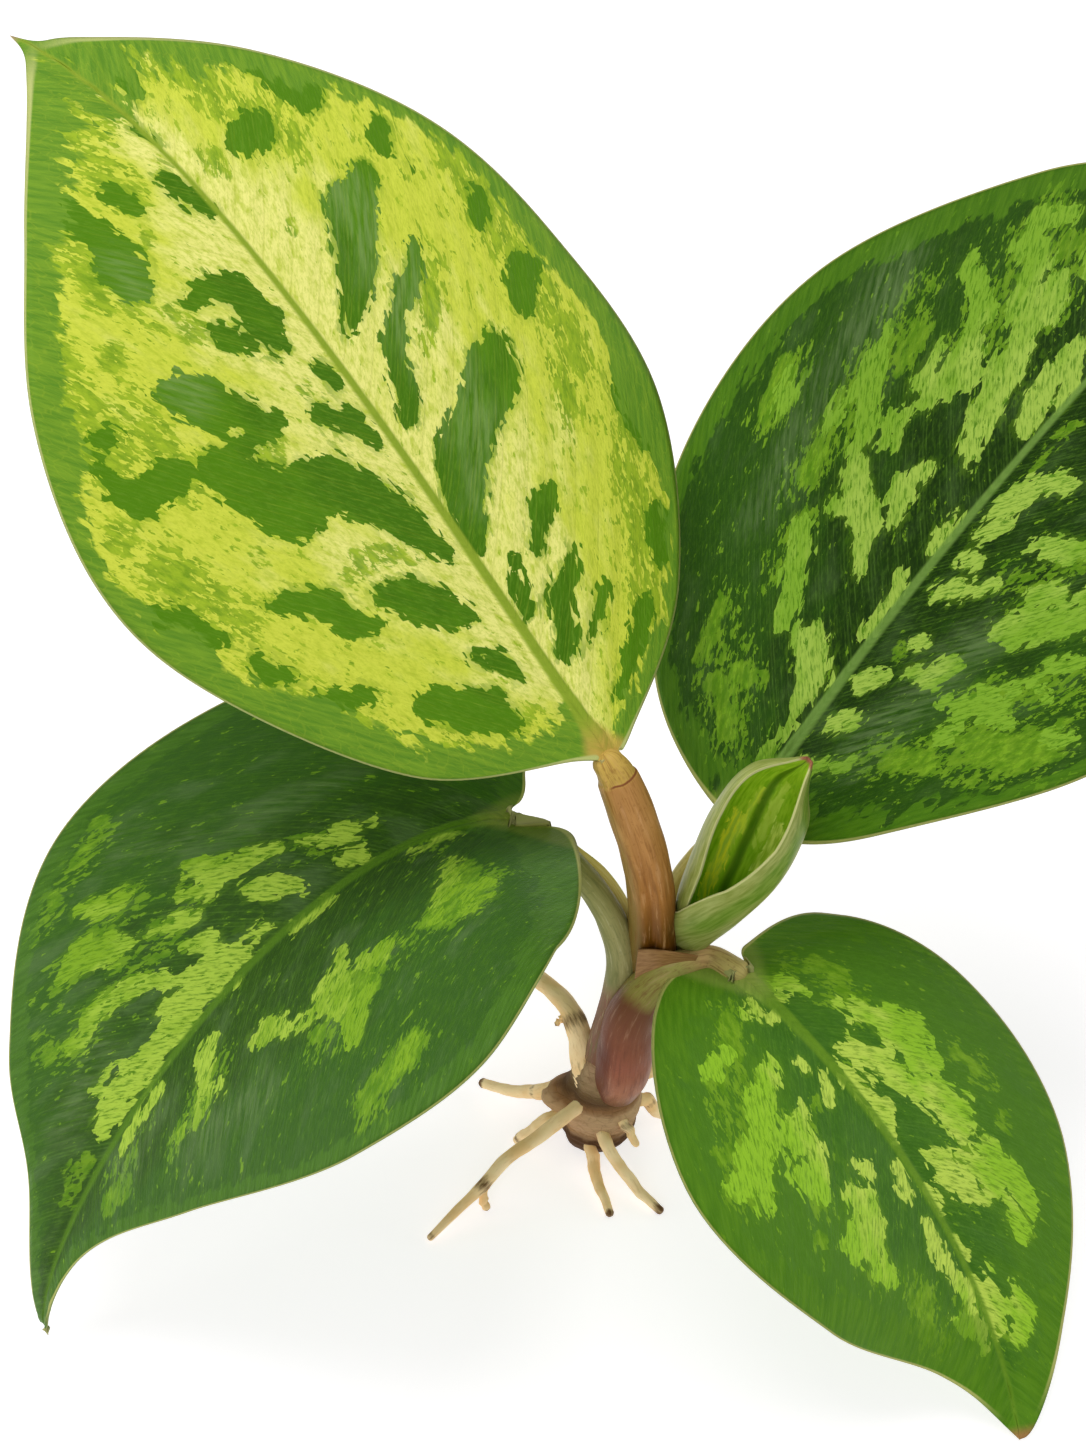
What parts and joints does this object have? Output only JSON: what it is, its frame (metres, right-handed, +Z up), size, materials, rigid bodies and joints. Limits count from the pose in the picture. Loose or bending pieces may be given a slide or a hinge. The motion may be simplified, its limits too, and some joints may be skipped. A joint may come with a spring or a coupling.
{
  "type": "bare-root camouflage homalomena plant",
  "caption": "Bare-root house plant: broad pointed leaves mottled cream, lime and dark green on sheathing petioles, rising from a ringed stem base with tan roots.",
  "frame": {"origin": "a point on the flat underside of the stem base, on the surface that the plant stands on", "axes": "+Z up, -Y towards the front, where the two low leaves droop, +X to the right as seen from the front"},
  "size_m": [0.2351, 0.1695, 0.199],
  "materials": {
    "leaf_cream": "smooth waxy leaf, cream and lime with green islands",
    "leaf_dark": "smooth waxy leaf, dark green with lime patches",
    "leaf_rolled": "smooth pale grey-green outside, striped green inside",
    "petiole_orange": "satin, orange-brown",
    "petiole_grey_green": "satin, grey-green, pink-brown at the foot",
    "petiole_pink": "satin, pink-brown, pale green above",
    "petiole_yellow": "satin, yellow-green",
    "stem": "matte, ringed, brown-grey",
    "root": "matte, tan with dark tips"
  },
  "bodies": {
    "root": {"stem_base": "stem", "petiole_upper_left": "petiole_orange", "petiole_lower_left": "petiole_grey_green", "petiole_lower_right": "petiole_pink", "petiole_right": "petiole_yellow", "leaf_young": "leaf_rolled", "leaf_upper_left": "leaf_cream", "leaf_lower_left": "leaf_dark", "leaf_right": "leaf_dark", "leaf_lower_right": "leaf_dark", "root_front_left": "root", "root_left": "root", "root_left_short": "root", "root_front": "root", "root_front_right": "root", "root_stub": "root", "root_right": "root", "root_aerial": "root", "root_back": "root", "root_back_right": "root"}
  },
  "joints": []
}
